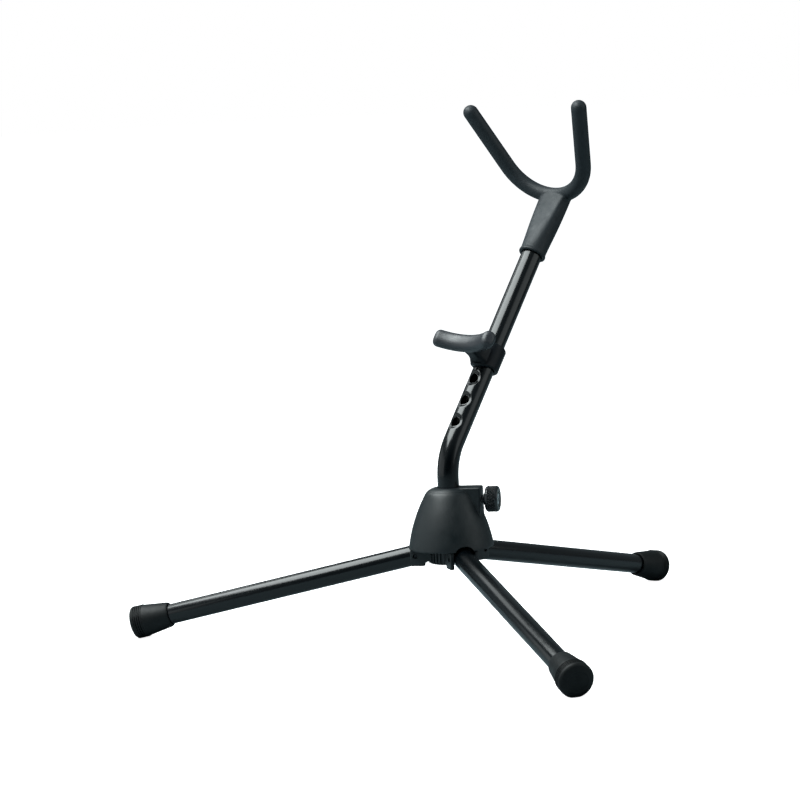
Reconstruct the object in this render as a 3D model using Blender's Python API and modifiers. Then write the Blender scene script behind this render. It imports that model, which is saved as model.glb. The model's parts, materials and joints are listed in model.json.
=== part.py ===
"""A folding tripod stand for an alto or tenor saxophone, as separate solids in metres, +Z up.

The origin is on the floor, under the middle of the stand's box. The mast stands in the hub and
leans back towards +Y, over the rear leg, and the saxophone hangs on the -Y side.
"""

import math

import bmesh
import bpy
from mathutils import Matrix, Vector

# Where the hub's axis stands, and the gap left between neighbouring pieces.
HUB_Y = -0.06647
GAP = 0.0003
BORE_PLAY = 0.0004

# Legs: hinge circle, tube and foot. Lengths run along the leg from its hinge.
LEG_ANGLES = {"rear": 90.0, "left": 210.0, "right": 330.0}
HINGE_R = 0.029
HINGE_Z = 0.069
LEG_TUBE_R = 0.00867
LEG_WALL = 0.0012
LEG_TAIL = 0.006
LEG_END = 0.2520
FOOT_START = 0.2255
FOOT_RIM = 0.2567
FOOT_END = 0.2612
FOOT_RIM_R = 0.0142
FOOT_MOUTH_R = 0.0100
FOOT_SINK = 0.0005
PIN_R = 0.0018
PIN_HALF = 0.0110
EAR_INNER = LEG_TUBE_R + 0.0005
EAR_OUTER = 0.0124
EAR_REACH = 0.0042
EAR_DROP = 0.0083
EAR_HEEL = 0.0082
EAR_ROOT = 0.0140
EAR_CORNER = 0.0014
INSERT_END = 0.0240

# The slope that sets the foot's rim on the floor, flattened by FOOT_SINK.
LEG_SLOPE = math.asin((HINGE_Z + FOOT_SINK) / math.hypot(FOOT_RIM, FOOT_RIM_R)) - math.atan2(
    FOOT_RIM_R, FOOT_RIM
)

# Hub: housing, carrier and the clamp that grips the mast.
SKIRT_Z = 0.0750
HUB_TOP = 0.1255
SKIRT_R = 0.0358
DOME_SLOPE = 0.135
DOME_CURVE = 4.72
SHOULDER = 0.0060
HOUSING_WALL = 0.0026
SLEEVE_R = 0.0126
SLEEVE_Z = 0.1010
ARCH_TOP = 0.0796
ARCH_HALF = 0.0097
ARCH_ROUND = 0.0055
NOSE_REACH = 0.0278
NOSE_HALF = 0.0089
NOSE_BOTTOM = 0.1012
NOSE_START = 0.0040
PLATE_R = 0.0320
PLATE_TOP = 0.0790
DRUM_R = 0.0190
DRUM_BOTTOM = 0.0623
SOCKET_R = 0.0124
SOCKET_TOP = 0.0980
SOCKET_FLOOR = 0.0645
SLOT_START = 0.0154
CLAMP_ANGLE = 30.0
CLAMP_Z = 0.1147
SCREW_R = 0.0030
SCREW_HEAD = 0.0386
NUT_NEAR = 0.0162
NUT_FAR = 0.0212
NUT_HALF = 0.0050
SHOE_R = 0.0031
SHOE_END = 0.0122
KNOB_R = 0.0110
KNOB_NEAR = 0.0316
KNOB_FAR = 0.0426
POST_ANGLES = (30.0, 150.0, 270.0)
POST_AT = 0.0252
POST_R = 0.0032
POST_TOP = 0.0990
PILOT_R = 0.0016
PILOT_TOP = 0.0920
POST_SCREW_R = 0.0013
POST_SCREW_END = 0.0900
POST_HEAD_R = 0.0030
POST_HEAD_LOW = 0.0754
POST_HEAD_SEAT = 0.0772

# Mast: vertical in the hub, then bent back.
MAST_R = 0.0090
MAST_WALL = 0.0012
MAST_BOTTOM = 0.0670
BEND_Z = 0.1500
BEND_R = 0.050
LEAN = math.radians(37.5)
MAST_TOP = 0.2180
HOLE_TOP = 0.0943
HOLE_PITCH = 0.0212
HOLE_COUNT = 4
HOLE_R = 0.0045

# Fork: a U of coated rod in a plane that tips forward, on a socket over the mast's end.
FORK_S = 0.2637
FORK_TIP = math.radians(27.4)
FORK_R = 0.0067
ROD_R = 0.0040
U_RADIUS = 0.0444
U_HALF_ANGLE = math.radians(71.7)
U_ARM = 0.0572
SOCKET_START = 0.2018
SOCKET_ROUND = 0.0112
SOCKET_WIDE = 0.0146
STEM_R = 0.0073
STEM_START = 0.1760
TANG_R = 0.0044
FORK_PIN_S = 0.2090
FORK_PIN_R = 0.0019

# Lower rest: a clip round the mast, with a padded arc in front of it.
REST_START = 0.0870
REST_END = 0.1084
CLIP_R = 0.0120
NECK_HALF = 0.0065
NECK_HEIGHT = 0.0060
NECK_END = 0.0269
ARC_RADIUS = 0.0525
ARC_FRONT = 0.0291
ARC_HALF_ANGLE = math.radians(31.0)
PAD_ROUND = 0.0045
PAD_HALF = 0.0060
PAD_HEIGHT = 0.0076
ARM_HALF = 0.00175
ARM_HEIGHT = 0.0035
PEG_R = 0.0040
PEG_BORE = 0.0043
PEG_END = 0.0155
SPRING_START = 0.0166
SPRING_END = 0.0202
REST_SCREW_R = 0.0050
REST_SCREW_TOP = 0.0332

for old in list(bpy.data.objects):
    bpy.data.objects.remove(old, do_unlink=True)

stand = bpy.data.collections.new("saxophone_stand")
helpers = bpy.data.collections.new("cutters")
bpy.context.scene.collection.children.link(stand)
bpy.context.scene.collection.children.link(helpers)


def material(name, colour, roughness, metallic=0.0):
    """A Principled material with one colour."""
    made = bpy.data.materials.new(name)
    made.use_nodes = True
    shader = made.node_tree.nodes["Principled BSDF"]
    shader.inputs["Base Color"].default_value = (*colour, 1.0)
    shader.inputs["Roughness"].default_value = roughness
    shader.inputs["Metallic"].default_value = metallic
    return made


MATERIALS = {
    "coated_tube": material("coated_tube", (0.012, 0.013, 0.014), 0.28),
    "hub_plastic": material("hub_plastic", (0.022, 0.024, 0.027), 0.45),
    "soft_cover": material("soft_cover", (0.020, 0.021, 0.022), 0.62),
    "foot_rubber": material("foot_rubber", (0.016, 0.016, 0.017), 0.70),
    "knob_plastic": material("knob_plastic", (0.014, 0.014, 0.015), 0.50),
    "bright_steel": material("bright_steel", (0.55, 0.55, 0.56), 0.30, 1.0),
    "dark_steel": material("dark_steel", (0.05, 0.05, 0.055), 0.35, 1.0),
    "brass": material("brass", (0.60, 0.44, 0.18), 0.35, 1.0),
}


def frame(name, parent=None, location=(0.0, 0.0, 0.0), rotation=(0.0, 0.0, 0.0)):
    """An empty that other pieces are placed in."""
    made = bpy.data.objects.new(name, None)
    stand.objects.link(made)
    made.parent = parent
    made.location = location
    made.rotation_euler = rotation
    return made


def place(name, mesh, where, slot=None, location=(0.0, 0.0, 0.0), rotation=(0.0, 0.0, 0.0)):
    """A mesh as a node of the stand with a material or, with no slot, as a hidden helper."""
    made = bpy.data.objects.new(name, mesh)
    made.parent = where
    made.location = location
    made.rotation_euler = rotation
    if slot is None:
        helpers.objects.link(made)
        made.hide_render = True
        made.display_type = "WIRE"
        return made
    stand.objects.link(made)
    mesh.materials.append(MATERIALS[slot])
    mesh.shade_smooth()
    mesh.set_sharp_from_angle(angle=math.radians(35.0))
    return made


def finished(work, name):
    """The bmesh as a closed mesh whose faces point outwards."""
    bmesh.ops.recalc_face_normals(work, faces=work.faces)
    mesh = bpy.data.meshes.new(name)
    work.to_mesh(mesh)
    work.free()
    return mesh


def box(name, low, high, bevel=0.0):
    """A box between two corners, with its edges rounded by bevel."""
    work = bmesh.new()
    bmesh.ops.create_cube(work, size=1.0)
    low, high = Vector(low), Vector(high)
    for vert in work.verts:
        vert.co = [(low[i] + high[i]) / 2 + vert.co[i] * (high[i] - low[i]) for i in range(3)]
    if bevel:
        bmesh.ops.bevel(work, geom=work.edges[:], offset=bevel, segments=2, profile=0.5, affect="EDGES")
    return finished(work, name)


def turned(name, profile, steps=24, axis="Z", turn=0.0):
    """A solid of revolution. The profile's (radius, height) points start and end on the axis."""
    work = bmesh.new()
    points = [work.verts.new((radius, 0.0, height)) for radius, height in profile]
    edges = [work.edges.new(pair) for pair in zip(points, points[1:])]
    bmesh.ops.spin(work, geom=points + edges, cent=(0, 0, 0), axis=(0, 0, 1), angle=math.tau, steps=steps)
    bmesh.ops.remove_doubles(work, verts=work.verts, dist=1e-6)
    bmesh.ops.rotate(work, verts=work.verts, cent=(0, 0, 0), matrix=Matrix.Rotation(turn, 3, "Z"))
    if axis != "Z":
        tilt = Vector((0, 0, 1)).rotation_difference(Vector({"X": (1, 0, 0), "Y": (0, 1, 0)}[axis]))
        bmesh.ops.rotate(work, verts=work.verts, cent=(0, 0, 0), matrix=tilt.to_matrix())
    return finished(work, name)


def rod(name, radius, start, end, steps=24, axis="Z", chamfer=0.0, turn=0.0):
    """A cylinder along an axis, with chamfered ends. turn shifts its facets round the axis."""
    rim = radius - chamfer
    profile = [(0, end), (rim, end)]
    if chamfer:
        profile += [(radius, end - chamfer), (radius, start + chamfer)]
    else:
        profile += [(radius, start)]
    profile += [(rim, start)] if chamfer else []
    return turned(name, profile + [(0, start)], steps, axis, turn)


def pipe(name, outer, inner, start, end, steps=24):
    """A hollow cylinder along Z."""
    work = bmesh.new()
    loop = [(outer, end), (outer, start), (inner, start), (inner, end)]
    points = [work.verts.new((radius, 0.0, height)) for radius, height in loop]
    edges = [work.edges.new((points[i], points[(i + 1) % 4])) for i in range(4)]
    bmesh.ops.spin(work, geom=points + edges, cent=(0, 0, 0), axis=(0, 0, 1), angle=math.tau, steps=steps)
    bmesh.ops.remove_doubles(work, verts=work.verts, dist=1e-6)
    return finished(work, name)


def mesh_of_curve(curve, name):
    """A curve datablock turned into a closed mesh."""
    holder = bpy.data.objects.new(name, curve)
    helpers.objects.link(holder)
    graph = bpy.context.evaluated_depsgraph_get()
    mesh = bpy.data.meshes.new_from_object(holder.evaluated_get(graph))
    bpy.data.objects.remove(holder, do_unlink=True)
    work = bmesh.new()
    work.from_mesh(mesh)
    bmesh.ops.remove_doubles(work, verts=work.verts, dist=1e-6)
    return finished(work, name)


def swept(name, points, radius, resolution=6, ends=(), caps=True):
    """A round bar through the points. ends gives the relative radius of the last points, for round tips."""
    curve = bpy.data.curves.new(name, "CURVE")
    curve.dimensions = "3D"
    curve.bevel_depth = radius
    curve.bevel_resolution = resolution
    curve.use_fill_caps = caps
    spline = curve.splines.new("POLY")
    spline.points.add(len(points) - 1)
    for spot, point in zip(spline.points, points):
        spot.co = (*point, 1.0)
    for index, factor in enumerate(ends):
        spline.points[index].radius = factor
        spline.points[-1 - index].radius = factor
    return mesh_of_curve(curve, name)


def plate(name, outline, half_thickness, bevel=0.0):
    """A flat outline in XY with a thickness along Z. bevel rounds the rim and widens the outline."""
    curve = bpy.data.curves.new(name, "CURVE")
    curve.dimensions = "2D"
    curve.fill_mode = "BOTH"
    curve.extrude = half_thickness - bevel
    curve.bevel_depth = bevel
    curve.bevel_resolution = 2
    spline = curve.splines.new("POLY")
    spline.points.add(len(outline) - 1)
    for spot, point in zip(spline.points, outline):
        spot.co = (*point, 0.0, 1.0)
    spline.use_cyclic_u = True
    return mesh_of_curve(curve, name)


def weld(target):
    """Closes the hairline edges that cuts can leave."""
    modifier = target.modifiers.new("weld", "WELD")
    modifier.merge_threshold = 0.000004


def boolean(target, tool, operation="DIFFERENCE"):
    """Cuts the tool from the target, or joins it on."""
    modifier = target.modifiers.new(tool.name, "BOOLEAN")
    modifier.operation = operation
    modifier.solver = "EXACT"
    modifier.object = tool


hub = frame("hub_axis", location=(0.0, HUB_Y, 0.0))


def dome_radius(height):
    """The housing's outer radius at a height above its skirt."""
    return SKIRT_R - DOME_SLOPE * height - DOME_CURVE * height**2


def dome_profile(inset, bottom):
    """The dome's outline moved in by an inset: the middle of the top, a shoulder arc, then the wall."""
    start = HUB_TOP - SHOULDER - SKIRT_Z
    lean = math.atan(DOME_SLOPE + 2 * DOME_CURVE * start)
    arc = SHOULDER / (1 - math.sin(lean))
    middle_r = dome_radius(start) - arc * math.cos(lean)
    profile = [(0.0, HUB_TOP - inset)]
    arc_steps = 4
    for index in range(arc_steps + 1):
        angle = math.pi / 2 + (lean - math.pi / 2) * index / arc_steps
        out = middle_r + (arc - inset) * math.cos(angle)
        profile.append((out, HUB_TOP - arc + (arc - inset) * math.sin(angle)))
    levels = 5
    for index in range(1, levels + 1):
        height = start * (1 - index / levels)
        profile.append((dome_radius(height) - inset, SKIRT_Z + height))
    if bottom < SKIRT_Z:
        profile.append((SKIRT_R - inset, bottom))
    return profile + [(0.0, bottom)]


def leg_frames():
    """An empty on each leg's hinge: X runs out from the hub and Y along the hinge pin."""
    made = {}
    for leg, degrees in LEG_ANGLES.items():
        turn = frame(f"{leg}_leg_direction", hub, rotation=(0, 0, math.radians(degrees)))
        made[leg] = frame(f"{leg}_leg_hinge", turn, location=(HINGE_R, 0, HINGE_Z))
    return made


def post_frames():
    """An empty on the axis of each post that holds the carrier to the housing."""
    made = []
    for index, degrees in enumerate(POST_ANGLES, start=1):
        turn = frame(f"screw_post_{index}_direction", hub, rotation=(0, 0, math.radians(degrees)))
        made.append(frame(f"screw_post_{index}", turn, location=(POST_AT, 0, 0)))
    return made


def cut_leg_arches(target):
    """Openings in the housing's skirt that the legs swing through."""
    for leg, hinge in hinges.items():
        low = (-0.008, -ARCH_HALF, -0.030)
        high = (0.020, ARCH_HALF, ARCH_TOP - HINGE_Z)
        boolean(target, place(f"{leg}_arch_cutter", box(f"{leg}_arch", low, high, ARCH_ROUND), hinge))


def add_nose(housing):
    """The clamp's nose: its outer shell before the housing is hollowed, and its core after."""
    low = (NOSE_START, -NOSE_HALF, NOSE_BOTTOM - CLAMP_Z)
    high = (NOSE_REACH, NOSE_HALF, HUB_TOP - GAP - CLAMP_Z)
    boolean(housing, place("housing_nose", box("nose", low, high, 0.0014), clamp), "UNION")
    inside = turned("inside", dome_profile(HOUSING_WALL, SKIRT_Z - 0.001), 36, turn=0.03)
    boolean(housing, place("housing_inside_cutter", inside, hub))
    sleeve = rod("sleeve", SLEEVE_R, SLEEVE_Z, HUB_TOP - 0.001, turn=0.02)
    boolean(housing, place("housing_sleeve", sleeve, hub), "UNION")
    inset = 0.0005
    low = (NOSE_START, -NOSE_HALF + inset, SLEEVE_Z - CLAMP_Z + inset)
    high = (NOSE_REACH - 3 * inset, NOSE_HALF - inset, HUB_TOP - CLAMP_Z - 2 * inset)
    boolean(housing, place("housing_nose_core", box("core", low, high), clamp), "UNION")


def make_housing():
    """The domed housing, with its clamp nose, inner sleeve, nut pocket, screw posts and leg arches."""
    outer = turned("housing", dome_profile(0.0, SKIRT_Z), 36, turn=0.01)
    housing = place("hub_housing", outer, hub, "hub_plastic")
    add_nose(housing)
    bore = rod("mast_bore", MAST_R + BORE_PLAY, SKIRT_Z, HUB_TOP + 0.010, 24, turn=0.04)
    boolean(housing, place("housing_bore_cutter", bore, hub))
    screw_hole = rod("screw_hole", SCREW_R + 0.0005, 0.0, 0.040, 16, "X", turn=0.09)
    boolean(housing, place("housing_screw_cutter", screw_hole, clamp))
    side = NUT_HALF + 0.0005
    low = (NUT_NEAR - 0.0004, -side, -0.030)
    high = (NUT_FAR + 0.0004, side, NUT_HALF + 0.0008)
    boolean(housing, place("housing_pocket_cutter", box("pocket", low, high), clamp))
    for index, post_frame in enumerate(posts, start=1):
        post = rod("post", POST_R, PLATE_TOP + GAP, POST_TOP, 12)
        boolean(housing, place(f"housing_post_{index}", post, post_frame), "UNION")
        pilot = rod("pilot", PILOT_R, PLATE_TOP, PILOT_TOP, 10, turn=0.1)
        boolean(housing, place(f"housing_pilot_{index}_cutter", pilot, post_frame))
    cut_leg_arches(housing)
    weld(housing)


def ear_outline():
    """A hinge ear from the side, with its hinge at the origin: square below, with cut corners and a root."""
    outer_top = SKIRT_Z - 2 * GAP - HINGE_Z
    inner_top = PLATE_TOP - 0.0010 - HINGE_Z
    root_low = -0.0046
    return [
        (-EAR_ROOT, inner_top),
        (-EAR_ROOT, root_low),
        (-EAR_HEEL, root_low),
        (-EAR_HEEL, -EAR_DROP + EAR_CORNER),
        (-EAR_HEEL + EAR_CORNER, -EAR_DROP),
        (EAR_REACH - EAR_CORNER, -EAR_DROP),
        (EAR_REACH, -EAR_DROP + EAR_CORNER),
        (EAR_REACH, outer_top),
        (0.0, outer_top),
        (0.0, inner_top),
    ]


def make_carrier():
    """The moulded carrier: a plate in the skirt, a drum with the mast's socket, and ears for the legs."""
    profile = [
        (0.0, SOCKET_FLOOR),
        (MAST_R + BORE_PLAY, SOCKET_FLOOR),
        (MAST_R + BORE_PLAY, SOCKET_TOP),
        (SOCKET_R, SOCKET_TOP),
        (SOCKET_R, PLATE_TOP),
        (PLATE_R, PLATE_TOP),
        (PLATE_R, SKIRT_Z),
        (DRUM_R, SKIRT_Z),
        (DRUM_R, DRUM_BOTTOM),
        (0.0, DRUM_BOTTOM),
    ]
    carrier = place("leg_carrier", turned("carrier", profile, 36, turn=0.02), hub, "hub_plastic")
    for leg, hinge in hinges.items():
        slot_half = EAR_INNER + 0.0002
        slot = box("slot", (SLOT_START - HINGE_R, -slot_half, -0.0120), (0.030, slot_half, 0.0150))
        boolean(carrier, place(f"{leg}_slot_cutter", slot, hinge))
        for side, sign in (("a", -1), ("b", 1)):
            ear = plate("ear", ear_outline(), (EAR_OUTER - EAR_INNER) / 2)
            middle = (0.0, sign * (EAR_INNER + EAR_OUTER) / 2, 0.0)
            upright = (math.pi / 2, 0, 0)
            boolean(carrier, place(f"{leg}_ear_{side}", ear, hinge, None, middle, upright), "UNION")
        stop = box("stop", (-0.0190, -0.0050, 0.0056), (-LEG_TAIL - GAP, 0.0050, 0.0086))
        boolean(carrier, place(f"{leg}_stop", stop, hinge, rotation=(0, LEG_SLOPE, 0)), "UNION")
        hole = rod("pin_hole", PIN_R + GAP, -0.020, 0.020, 12, "Y", turn=0.1)
        boolean(carrier, place(f"{leg}_pin_hole_cutter", hole, hinge))
    for index, post_frame in enumerate(posts, start=1):
        clearance = rod("clearance", PILOT_R, SKIRT_Z - 0.004, PLATE_TOP + 0.004, 10, turn=0.1)
        boolean(carrier, place(f"clearance_{index}_cutter", clearance, post_frame))
        seat = rod("seat", POST_HEAD_R + GAP, SKIRT_Z - 0.004, POST_HEAD_SEAT, 16, turn=0.07)
        boolean(carrier, place(f"seat_{index}_cutter", seat, post_frame))
    weld(carrier)


def make_housing_screws():
    """Three screws that come up through the carrier's plate into the housing's posts."""
    seat = POST_HEAD_SEAT - GAP
    profile = [(0.0, POST_SCREW_END), (POST_SCREW_R, POST_SCREW_END), (POST_SCREW_R, seat)]
    profile += [(POST_HEAD_R, seat), (POST_HEAD_R - 0.0005, POST_HEAD_LOW), (0.0, POST_HEAD_LOW)]
    for index, post_frame in enumerate(posts, start=1):
        place(f"housing_screw_{index}", turned("screw", profile, 16), post_frame, "bright_steel")


def make_clamp():
    """Captive nut, pressure shoe, screw and knob, on one axis that points out of the nose."""
    nut_mesh = box("nut", (NUT_NEAR, -NUT_HALF, -NUT_HALF), (NUT_FAR, NUT_HALF, NUT_HALF), 0.0004)
    nut = place("clamp_nut", nut_mesh, clamp, "bright_steel")
    nut_hole = rod("nut_hole", SCREW_R + GAP, NUT_NEAR - 0.005, NUT_FAR + 0.005, 20, "X")
    boolean(nut, place("nut_hole_cutter", nut_hole, clamp))
    shoe = rod("shoe", SHOE_R, MAST_R + GAP, SHOE_END, 20, "X", 0.0004)
    place("clamp_shoe", shoe, clamp, "brass")
    top = KNOB_FAR - 0.0006
    head_r = 0.0050
    head = [(0.0, top), (head_r - 0.0006, top), (head_r, top - 0.0008), (head_r, SCREW_HEAD)]
    tip = SHOE_END + GAP
    shank = head + [(SCREW_R, SCREW_HEAD), (SCREW_R, tip + 0.0005), (SCREW_R - 0.0006, tip), (0.0, tip)]
    place("clamp_screw", turned("clamp_screw", shank, 20, "X"), clamp, "bright_steel")
    boss_r = 0.0056
    boss_low = KNOB_NEAR - 0.0016
    knob_profile = [
        (0.0, KNOB_FAR),
        (KNOB_R - 0.0022, KNOB_FAR),
        (KNOB_R - 0.0006, KNOB_FAR - 0.0006),
        (KNOB_R, KNOB_FAR - 0.0020),
        (KNOB_R, KNOB_NEAR + 0.0016),
        (KNOB_R - 0.0016, KNOB_NEAR),
        (boss_r, KNOB_NEAR),
        (boss_r - 0.0004, boss_low),
        (0.0, boss_low),
    ]
    knob = place("clamp_knob", turned("knob", knob_profile, 28, "X"), clamp, "knob_plastic")
    shank_hole = rod("knob_shank_hole", SCREW_R + GAP, boss_low - 0.005, KNOB_FAR + 0.005, 20, "X")
    boolean(knob, place("knob_shank_cutter", shank_hole, clamp))
    recess = rod("knob_recess", head_r + 0.0004, SCREW_HEAD - GAP, KNOB_FAR + 0.005, 20, "X")
    boolean(knob, place("knob_recess_cutter", recess, clamp))


def make_leg(leg, hinge):
    """Tube, end insert, foot and hinge pin of one leg."""
    along = (0, math.pi / 2 + LEG_SLOPE, 0)
    tube_mesh = pipe("leg_tube", LEG_TUBE_R, LEG_TUBE_R - LEG_WALL, -LEG_TAIL, LEG_END, 20)
    tube = place(f"{leg}_leg_tube", tube_mesh, hinge, "coated_tube", rotation=along)
    insert_mesh = rod("insert", LEG_TUBE_R - LEG_WALL - GAP, -LEG_TAIL, INSERT_END, 20)
    insert = place(f"{leg}_leg_insert", insert_mesh, hinge, "hub_plastic", rotation=along)
    hole_mesh = rod("hole", PIN_R + GAP, -0.020, 0.020, 12, "Y", turn=0.1)
    hole = place(f"{leg}_leg_pin_cutter", hole_mesh, hinge)
    boolean(tube, hole)
    boolean(insert, hole)
    pin = rod("pin", PIN_R, -PIN_HALF, PIN_HALF, 12, "Y", 0.0004)
    place(f"{leg}_hinge_pin", pin, hinge, "dark_steel")
    foot_profile = [
        (0.0, FOOT_END),
        (FOOT_RIM_R * 0.55, FOOT_END - 0.0006),
        (FOOT_RIM_R * 0.83, FOOT_END - 0.0021),
        (FOOT_RIM_R * 0.97, FOOT_END - 0.0036),
        (FOOT_RIM_R, FOOT_RIM),
        (FOOT_RIM_R - 0.0004, FOOT_RIM - 0.0070),
        (FOOT_MOUTH_R + 0.0006, FOOT_START + 0.0006),
        (FOOT_MOUTH_R, FOOT_START),
        (LEG_TUBE_R + GAP, FOOT_START),
        (LEG_TUBE_R + GAP, LEG_END + GAP),
        (0.0, LEG_END + GAP),
    ]
    foot = place(f"{leg}_leg_foot", turned("foot", foot_profile, 24), hinge, "foot_rubber", rotation=along)
    floor = box("floor", (0.200, -0.030, -HINGE_Z - 0.020), (0.300, 0.030, -HINGE_Z))
    boolean(foot, place(f"{leg}_floor_cutter", floor, hinge))


def mast_path(start, end):
    """The mast's centre line in the hub's frame: up, round the bend and back along the slope."""
    tangent = BEND_R * math.tan(LEAN / 2)
    bends = 8
    points = [(0.0, 0.0, start), (0.0, 0.0, BEND_Z - tangent)]
    for index in range(1, bends + 1):
        angle = LEAN * index / bends
        y = BEND_R * (1 - math.cos(angle))
        z = BEND_Z - tangent + BEND_R * math.sin(angle)
        points.append((0.0, y, z))
    points.append((0.0, end * math.sin(LEAN), BEND_Z + end * math.cos(LEAN)))
    return points


def make_mast():
    """The bent steel tube with its row of holes, and the plug in its lower end."""
    path = mast_path(MAST_BOTTOM, MAST_TOP)
    tube = place("mast_tube", swept("mast", path, MAST_R, 8, caps=False), hub, "coated_tube")
    wall = tube.modifiers.new("wall", "SOLIDIFY")
    wall.thickness = MAST_WALL
    wall.offset = -1.0
    for index in range(HOLE_COUNT):
        height = HOLE_TOP - HOLE_PITCH * index
        hole = rod("rest_hole", HOLE_R, -0.020, -0.001, 18, "Y", turn=0.11)
        boolean(tube, place(f"rest_hole_{index + 1}_cutter", hole, slope, location=(0, 0, height)))
    pin_hole = rod("fork_pin_hole", FORK_PIN_R + GAP, -0.020, 0.020, 12, "X", turn=0.1)
    boolean(tube, place("fork_pin_cutter", pin_hole, slope, location=(0, 0, FORK_PIN_S)))
    weld(tube)
    top = MAST_BOTTOM + 0.012
    inner = MAST_R - MAST_WALL - GAP
    flange_top = MAST_BOTTOM - GAP
    flange_low = MAST_BOTTOM - 0.0021
    plug = [(0.0, top), (inner - 0.0008, top), (inner, top - 0.0015), (inner, flange_top)]
    plug += [(MAST_R, flange_top), (MAST_R, flange_low), (0.0, flange_low)]
    place("mast_plug", turned("plug", plug), hub, "foot_rubber")


def fork_path(trim=0.0):
    """The U's centre line in the fork's plane (X across, Z up the plane), from tip to tip."""
    arm = U_ARM - trim
    end_x = U_RADIUS * math.sin(U_HALF_ANGLE)
    end_z = U_RADIUS * (1 - math.cos(U_HALF_ANGLE))
    run = (math.cos(U_HALF_ANGLE), math.sin(U_HALF_ANGLE))
    side = [(end_x + run[0] * arm, 0.0, end_z + run[1] * arm)]
    turns = 8
    for index in range(turns, 0, -1):
        angle = U_HALF_ANGLE * index / turns
        side.append((U_RADIUS * math.sin(angle), 0.0, U_RADIUS * (1 - math.cos(angle))))
    return [(-x, y, z) for x, y, z in side] + [(0.0, 0.0, 0.0)] + side[::-1]


def rounded_tips(path, radius):
    """The path with extra points in its last radius of length, and the relative radius at each."""
    first, second = Vector(path[0]), Vector(path[1])
    run = (second - first).normalized()
    angles = [math.radians(a) for a in (4, 25, 45, 65)]
    caps = [first + run * radius * (1 - math.cos(a)) - run * radius for a in angles]
    mirror = [Vector((-p.x, p.y, p.z)) for p in caps]
    return caps + [Vector(p) for p in path] + mirror[::-1], [math.sin(a) for a in angles]


def section(half_x, half_y, power, count=24):
    """A ring between an ellipse (power 2) and a rounded rectangle (higher powers)."""
    ring = []
    for index in range(count):
        angle = math.tau * index / count
        c, s = math.cos(angle), math.sin(angle)
        x = half_x * math.copysign(abs(c) ** (2 / power), c)
        y = half_y * math.copysign(abs(s) ** (2 / power), s)
        ring.append((x, y))
    return ring


def socket_loft():
    """The socket: round over the mast and drawn out wide and flat where it meets the U."""
    rings = 6
    work = bmesh.new()
    rows = []
    for index in range(rings):
        part = index / (rings - 1)
        ease = part * part * (3 - 2 * part)
        half_x = SOCKET_ROUND + (SOCKET_WIDE - SOCKET_ROUND) * part
        half_y = SOCKET_ROUND + (FORK_R - 0.0004 - SOCKET_ROUND) * part
        height = SOCKET_START + (FORK_S - 0.0010 - SOCKET_START) * part
        ring = section(half_x, half_y, 2.0 + 2.2 * ease)
        rows.append([work.verts.new((x, y, height)) for x, y in ring])
    for low, high in zip(rows, rows[1:]):
        for index in range(len(low)):
            after = (index + 1) % len(low)
            work.faces.new((low[index], low[after], high[after], high[index]))
    work.faces.new(rows[0][::-1])
    work.faces.new(rows[-1])
    return finished(work, "socket")


def make_fork():
    """The welded steel U and stem, the cross pin that holds it, and the soft cover over it."""
    plane = frame("fork_plane", slope, (0, 0, FORK_S), (LEAN + FORK_TIP, 0, 0))
    rod_points = fork_path(0.0020)
    steel = place("fork_frame", swept("fork_rod", rod_points, ROD_R, 3), plane, "coated_tube")
    stem = rod("stem", STEM_R, STEM_START, MAST_TOP - 0.0010, 20)
    boolean(steel, place("fork_stem", stem, slope), "UNION")
    tang = rod("tang", TANG_R, STEM_START + 0.010, FORK_S, 16, turn=0.05)
    boolean(steel, place("fork_tang", tang, slope), "UNION")
    boolean(steel, bpy.data.objects["fork_pin_cutter"])
    pin = rod("fork_pin", FORK_PIN_R, -MAST_R + GAP, MAST_R - GAP, 12, "X", GAP)
    place("fork_pin", pin, slope, "bright_steel", (0, 0, FORK_PIN_S))
    path, ends = rounded_tips(fork_path(), FORK_R)
    cover = place("fork_cover", swept("fork_cover", path, FORK_R, 5, ends), plane, "soft_cover")
    boolean(cover, place("fork_socket", socket_loft(), slope), "UNION")
    inside = swept("cover_inside", fork_path(0.0012), ROD_R + GAP + 0.0001, 3)
    boolean(cover, place("cover_inside_cutter", inside, plane))
    bore = rod("cover_bore", MAST_R + GAP, 0.190, MAST_TOP + GAP, 24, turn=0.04)
    boolean(cover, place("cover_bore_cutter", bore, slope))
    tang_bore = rod("cover_tang_bore", TANG_R + GAP, MAST_TOP - 0.010, FORK_S + 0.0010, 16, turn=0.11)
    boolean(cover, place("cover_tang_cutter", tang_bore, slope))
    weld(cover)


def arc_band(half_width, half_angle):
    """A band round the rest's arc, in XY. Y runs forward from the mast's axis."""
    steps = 8
    centre = ARC_FRONT + ARC_RADIUS
    angles = [half_angle * (2 * index / steps - 1) for index in range(steps + 1)]
    outer = ARC_RADIUS + half_width
    inner = ARC_RADIUS - half_width
    front = [(outer * math.sin(a), centre - outer * math.cos(a)) for a in angles]
    back = [(inner * math.sin(a), centre - inner * math.cos(a)) for a in reversed(angles)]
    return front + back


def make_clip(peg_room):
    """The clip's collar and the neck that carries the arm, bored for the mast and the peg."""
    inner = MAST_R + BORE_PLAY
    ring = pipe("clip_ring", CLIP_R, inner, REST_START - HOLE_TOP, REST_END - HOLE_TOP, 24)
    clip = place("rest_clip", ring, rest, "hub_plastic")
    neck = box("neck", (-NECK_HALF, 0.0105, -NECK_HEIGHT), (NECK_HALF, NECK_END, NECK_HEIGHT), 0.0006)
    boolean(clip, place("clip_neck", neck, rest), "UNION")
    bore = rod("clip_bore", inner, -0.030, 0.030, 24)
    boolean(clip, place("clip_bore_cutter", bore, rest))
    boolean(clip, peg_room)


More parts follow.
